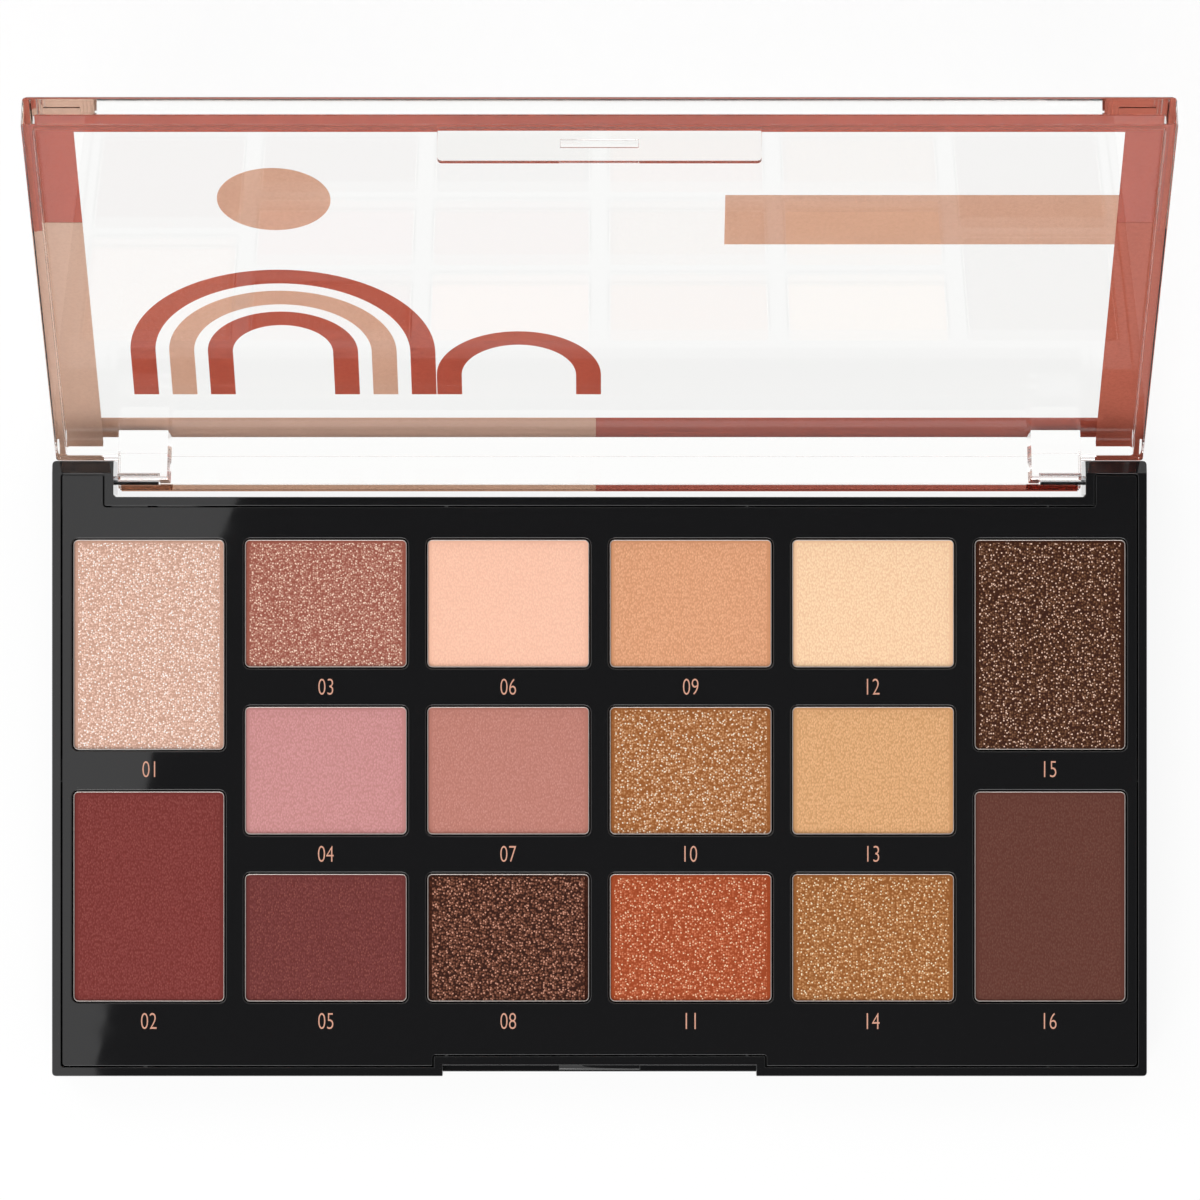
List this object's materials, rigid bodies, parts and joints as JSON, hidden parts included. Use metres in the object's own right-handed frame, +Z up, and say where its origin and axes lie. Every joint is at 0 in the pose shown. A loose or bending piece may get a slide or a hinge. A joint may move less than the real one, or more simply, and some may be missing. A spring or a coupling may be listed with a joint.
{
  "type": "eyeshadow palette",
  "caption": "Flat black makeup palette with rows of pressed eyeshadow pans under a clear hinged lid that snaps shut with a front latch tab.",
  "frame": {"origin": "centre of the tray's flat underside", "axes": "+X to the right along the palette's length, +Y towards the hinge at the back, +Z up"},
  "size_m": [0.1504, 0.1304, 0.0768],
  "materials": {
    "black_plastic": "black ABS, moulded glossy",
    "clear_plastic": "clear SAN, moulded and polished, printed outside in two colours",
    "aluminium": "drawn, bright",
    "steel": "drawn wire, bright",
    "powder_01": "pressed powder, champagne shimmer",
    "powder_02": "pressed powder, deep red, matte",
    "powder_03": "pressed powder, rose brown shimmer",
    "powder_04": "pressed powder, pink mauve, matte",
    "powder_05": "pressed powder, burgundy with red sparkle",
    "powder_06": "pressed powder, pale peach, matte",
    "powder_07": "pressed powder, dusty rose, matte",
    "powder_08": "pressed powder, dark brown glitter",
    "powder_09": "pressed powder, tan, matte",
    "powder_10": "pressed powder, gold bronze glitter",
    "powder_11": "pressed powder, copper orange glitter",
    "powder_12": "pressed powder, pale cream yellow",
    "powder_13": "pressed powder, sand, matte",
    "powder_14": "pressed powder, bronze gold glitter",
    "powder_15": "pressed powder, dark brown glitter",
    "powder_16": "pressed powder, dark chocolate, matte"
  },
  "bodies": {
    "base": {"tray_shell": "black_plastic", "pan_plate": "black_plastic", "hinge_pin_left": "steel", "hinge_pin_right": "steel", "pan_01": "aluminium", "pan_02": "aluminium", "pan_03": "aluminium", "pan_04": "aluminium", "pan_05": "aluminium", "pan_06": "aluminium", "pan_07": "aluminium", "pan_08": "aluminium", "pan_09": "aluminium", "pan_10": "aluminium", "pan_11": "aluminium", "pan_12": "aluminium", "pan_13": "aluminium", "pan_14": "aluminium", "pan_15": "aluminium", "pan_16": "aluminium", "powder_01": "powder_01", "powder_02": "powder_02", "powder_03": "powder_03", "powder_04": "powder_04", "powder_05": "powder_05", "powder_06": "powder_06", "powder_07": "powder_07", "powder_08": "powder_08", "powder_09": "powder_09", "powder_10": "powder_10", "powder_11": "powder_11", "powder_12": "powder_12", "powder_13": "powder_13", "powder_14": "powder_14", "powder_15": "powder_15", "powder_16": "powder_16"},
    "lid": {"lid_shell": "clear_plastic"}
  },
  "joints": [
    {"name": "lid_hinge", "type": "hinge", "parent": "base", "child": "lid", "pos_m": [0, 0.0395, 0.0059], "axis": [-1, 0, 0], "range_deg": [-120.26, 0]}
  ]
}
